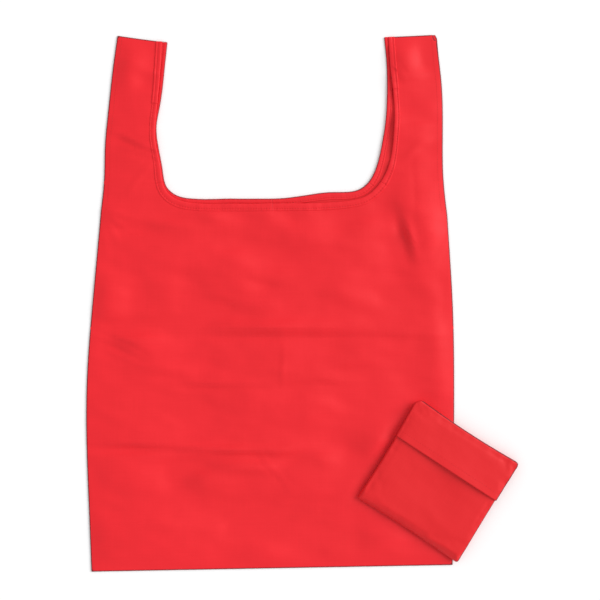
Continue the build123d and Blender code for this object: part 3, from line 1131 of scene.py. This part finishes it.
def pouch_top(points):
    """The filled pouch's upper face: thick at its sewn sides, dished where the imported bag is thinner."""
    x, y = points[:, 0], points[:, 1]
    edge = nearest(points, pouch_ring)[0]
    low_end = np.clip((LOW_BAND - POUCH_B - y) / LOW_FADE, 0, 1)
    z = WALL * edge_rise(edge, SIDE_ROUND + LOW_ROUND * low_end) + PLUMP * (1 - np.exp(-edge / PLUMP_EDGE))
    z -= DISH * mound(x, y, DISH_MIDDLE, DISH_HALF)
    for rise, size_x, size_y, seed in pouch_lumps:
        z += rise * (1 - np.exp(-edge / CALM_EDGE)) * noise_at(points, size_x, size_y, seed)
    z += PUCKER * noise_of(x / PUCKER_SIZE, y / PUCKER_SIZE, PUCKER_SEED) * np.exp(-edge / PLUMP_EDGE)
    z += ridge(points, (-50, -47), (14, -53), 4.0, 0.35, 0.3)
    z += ridge(points, (-8, -34), (44, -40), 7.0, 0.40, 0.5)
    return SEAM_Z + z + np.array([swell_at(a, b) for a, b in points])


def swell_at(x, y):
    """How much the cloth simulation lifted the pouch's upper face here."""
    if not swollen:
        return 0.0
    found = swelling.find_n(Vector((x, y, 0.0)), 4)
    weights = [1.0 / (d + 0.4) ** 2 for _, _, d in found]
    return sum(w * swollen[i] for w, (_, i, _) in zip(weights, found)) / sum(weights)


def pouch_under(points):
    """The pouch's lower face, flat where it rests and rounding up to its seams."""
    return POUCH_BASE + (SEAM_Z - POUCH_BASE) * (1 - edge_rise(nearest(points, pouch_ring)[0], 5.0))


def closed_form(flat, faces):
    """Vertices and faces of the pouch's closed body over a flat net of triangles."""
    top = np.column_stack((flat, pouch_top(flat)))
    face_up(top, faces)
    low = np.column_stack((flat, pouch_under(flat)))
    return np.concatenate((top, low)), two_sided(faces, len(flat))[0]


SWELL_SPACING = 4.2
SWELL_FRAMES = 20
SWELL_CAP = 0.9


def simulate_swelling():
    """Cloth simulation: the pouch's cloth, sewn down round its edge, pushed up by what is packed in it."""
    flat, faces = triangulated(pouch_outline, [], SWELL_SPACING)
    verts, made = closed_form(flat, faces)
    mesh = bpy.data.meshes.new("swelling")
    mesh.from_pydata([tuple(p * MM) for p in verts], [], made)
    pad = new_object("swelling", mesh)
    near = nearest(flat, pouch_ring)[0] < 0.3
    sewn = pad.vertex_groups.new(name="sewn")
    sewn.add([int(i) for i in np.flatnonzero(near)] + list(range(len(flat), 2 * len(flat))), 1.0, "REPLACE")
    cloth = pad.modifiers.new("cloth", "CLOTH")
    cloth.settings.vertex_group_mass = "sewn"
    cloth.settings.mass = 0.05
    cloth.settings.use_pressure = True
    cloth.settings.uniform_pressure_force = 4.0
    cloth.settings.shrink_min = -0.012
    cloth.settings.bending_stiffness = 0.05
    cloth.settings.effector_weights.gravity = 0.0
    cloth.collision_settings.use_collision = False
    for step in range(1, SWELL_FRAMES + 1):
        bpy.context.scene.frame_set(step)
    posed = pad.evaluated_get(bpy.context.evaluated_depsgraph_get()).to_mesh()
    z = np.array([v.co.z for v in posed.vertices])[: len(flat)] / MM
    bpy.context.scene.frame_set(1)
    bpy.data.objects.remove(pad)
    bpy.data.meshes.remove(mesh)
    lift = SWELL_CAP * np.tanh((z - verts[: len(flat), 2]) / SWELL_CAP)
    tree = KDTree(len(flat))
    for i, (x, y) in enumerate(flat):
        tree.insert(Vector((x, y, 0.0)), i)
    tree.balance()
    return tree, list(lift)


def finish_piece(name, verts, faces, material, flat, dark=None):
    """A smooth mesh piece from points in the pouch's own axes."""
    materials = (material, painted_edge_shade) if dark else (material,)
    mesh = new_mesh(name, on_pouch(verts), faces, flat, *materials)
    if dark:
        mesh.polygons.foreach_set("material_index", dark)
    mesh.validate()
    to_quads(mesh)
    smooth(mesh)
    return new_object(name, mesh)


# Columns along a pouch sheet's right side, painted with edge shade as a dark outline.
SIDE_SHADE_COLUMNS = 4


def strip(name, rows, material, thickness, dark_rows):
    """A sheet under rows of points, painted with edge shade along its right side and in its dark rows."""
    rows = np.array(rows)
    count, wide = rows.shape[:2]
    top = rows.reshape(-1, 3)
    n = np.cross(np.gradient(rows, axis=1), np.gradient(rows, axis=0))
    n /= np.maximum(np.linalg.norm(n, axis=2), 1e-9)[:, :, None]
    if n[count // 2, wide // 2, 2] < 0:
        n = -n
    low = top - n.reshape(-1, 3) * thickness
    lengths = run_length(rows[:, wide // 2])
    flat = np.array([(rows[i, j, 0], lengths[i]) for i in range(count) for j in range(wide)])
    faces, dark = [], []
    size = count * wide
    for i in range(count - 1):
        for j in range(wide - 1):
            a, b, c, d = i * wide + j, i * wide + j + 1, (i + 1) * wide + j + 1, (i + 1) * wide + j
            faces.append((a, b, c, d))
            faces.append((d + size, c + size, b + size, a + size))
            dark += [int(i in dark_rows or wide - 2 - j < SIDE_SHADE_COLUMNS), 0]
    grid = np.arange(size).reshape(count, wide)
    rim = np.concatenate((grid[0], grid[1:, -1], grid[-1, -2::-1], grid[-2:0:-1, 0])).tolist()
    for a, b in zip(rim, rim[1:] + rim[:1]):
        faces.append((b, a, a + size, b + size))
        dark.append(0)
    made = finish_piece(name, np.concatenate((top, low)), faces, material, np.concatenate((flat, flat)), dark)
    face_out(made.data)
    return made, float(lengths[-1])


def crowded(count):
    """Numbers from -1 to 1 that lie closer together towards both ends."""
    return np.sin(np.linspace(-1, 1, count) * math.pi / 2)


# Rows of the front panel, counted from its bottom edge and back from its mouth.
bottom_rows = [0.1, 0.4, 0.9, 1.6, 2.6, 3.8, 5.2, 6.8, 8.6]
hem_turn_rows = [HEM + 0.3, HEM - 0.2, 5.0, 2.0, 0.7, 0.0]
middle_rows = np.linspace(-POUCH_B + 10.6, MOUTH - HEM - 1.5, 38)
FRONT_LIFT = 0.28
HEM_THICK, HEM_ROUND = 0.25, 0.8


def pouch_front():
    """Rows of the front panel, from the bottom edge up to its hemmed mouth under the flap."""
    rows_made = []
    for y in (*(np.array(bottom_rows) - POUCH_B), *middle_rows, *(MOUTH - np.array(hem_turn_rows))):
        points = np.column_stack(drawn_in(row_across(crowded(64), y, 0.1), np.full(64, y)))
        hem = HEM_THICK * edge_rise(np.maximum(MOUTH - y, 0.0), HEM_ROUND) * (MOUTH - y < HEM)
        rows_made.append(np.column_stack((points, pouch_top(points) + FRONT_LIFT + hem)))
    return rows_made


FLAP_LIFT, FLAP_OUT, WRAP = 0.9, 0.5, 2.4
# The flap stands off the front most at the middle of its hem, more to the right, and its sides turn down.
FLAP_ARCH, ARCH_FULLNESS, ARCH_LEAN = 3.1, 0.7, 0.35
SIDE_DROP, SIDE_DROP_ROUND = 1.1, 1.5
SOFT_LOW = -0.3


def flap_rows():
    """Rows of the flap: out of the back panel, round the pouch's top edge and down over its front."""
    across = crowded(66)
    turn_y = POUCH_B + FLAP_OUT - WRAP
    lower = POUCH_BASE + 0.5
    rows_made = []

    def lying(y):
        inner = drawn_in(row_across(across, y, 2.2), np.full(len(across), min(y, POUCH_B - 3.0)))
        return row_across(across, y, 0.0, FLAP_OUT), pouch_top(np.column_stack(inner)) + FLAP_LIFT

    upper = lying(turn_y)[1]
    for angle in np.linspace(-90, 90, 13)[:-1]:
        a = math.radians(angle)
        y = turn_y + WRAP * math.cos(a)
        x = row_across(across, y, 0.0, FLAP_OUT)
        z = (upper + lower) / 2 + (upper - lower) / 2 * math.sin(a)
        rows_made.append(np.column_stack((*drawn_in(x, np.full(len(x), y)), z)))
    for t in np.linspace(0, 1, 36):
        y = turn_y + (FLAP_EDGE - turn_y) * t
        x, z = lying(y)
        z += FLAP_ARCH * t**2 * np.clip(1 - across**2, 0, 1) ** ARCH_FULLNESS * (1 + ARCH_LEAN * across)
        z -= SIDE_DROP * (1 - edge_rise(reach(y, False, FLAP_OUT) * (1 - np.abs(across)), SIDE_DROP_ROUND))
        flat = np.column_stack(drawn_in(x, np.full(len(x), y)))
        soft = 0.30 * noise_at(flat, 60.0, 30.0, 51.0) + 0.12 * noise_at(flat, 14.0, 12.0, 57.0)
        z += np.maximum(soft, SOFT_LOW) * t
        rows_made.append(np.column_stack((flat, z)))
    return rows_made


# Rows of points that the two hems are stitched along, counted back from each sheet's last row.
MOUTH_STITCH_ROW = -4
FLAP_STITCH_ROW = -7


def pouch_stitches(name, row):
    """A row of stitches along one row of points of a pouch sheet, its two ends left free."""
    x = np.linspace(row[2, 0], row[-3, 0], int(2 * POUCH_A / TAPE_STEP))
    y = np.interp(x, row[:, 0], row[:, 1])

    def height(places):
        return np.interp(in_pouch(places)[:, 0], row[:, 0], row[:, 2])

    return stitch_row(name, on_pouch(np.column_stack((x, y))), 0.0, height, SUNK, radius=HEM_THREAD)


FRONT_THICK, FLAP_THICK = 0.2, 0.25
# The middle rows of the flap's turn round the pouch's top edge, darkened with painted edge shade in place of
# the light they catch.
TURN_SHADE_ROWS = (5, 6, 7, 8, 9)
swelling, swollen = simulate_swelling()
body_flat, body_faces = triangulated(pouch_outline, [], grid_step * 0.75)
body_verts, body_faces = closed_form(body_flat, body_faces)
body_piece = finish_piece("pouch_body", body_verts, body_faces, pouch_cloth, body_verts[:, :2])
mouth_rows = pouch_front()
front_piece, front_length = strip("pouch_front", mouth_rows, pouch_cloth, FRONT_THICK, ())
over_rows = flap_rows()
flap_piece, flap_length = strip("pouch_flap_cloth", over_rows, pouch_cloth, FLAP_THICK, TURN_SHADE_ROWS)
mouth_stitches = pouch_stitches("pouch_mouth_stitches", mouth_rows[MOUTH_STITCH_ROW])
flap_stitches = pouch_stitches("flap_stitches", over_rows[FLAP_STITCH_ROW])

def on_root(y, z):
    """A point over the middle of the pouch, in metres."""
    x, y = on_pouch(np.array([[0.0, y, 0.0]]))[0][:2] * MM
    return (x, y, z * MM)


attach(body_piece, "pouch")
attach(front_piece, "pouch")
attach(mouth_stitches, "pouch")
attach(flap_stitches, "pouch_flap")
on_root(POUCH_B + 1.0, POUCH_BASE)
on_root(POUCH_B - 7.0, POUCH_BASE + 8.0)
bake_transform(flap_piece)
pouch_seams = ("pouch_left_seam", "pouch_right_seam", "pouch_bottom_fold")
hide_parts("pouch_back_panel", *pouch_seams, "packed_bag")
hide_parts("pouch_front_panel", "pouch_mouth_hem")
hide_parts("pouch_flap", "pouch_flap_hem", "pouch_flap_root")
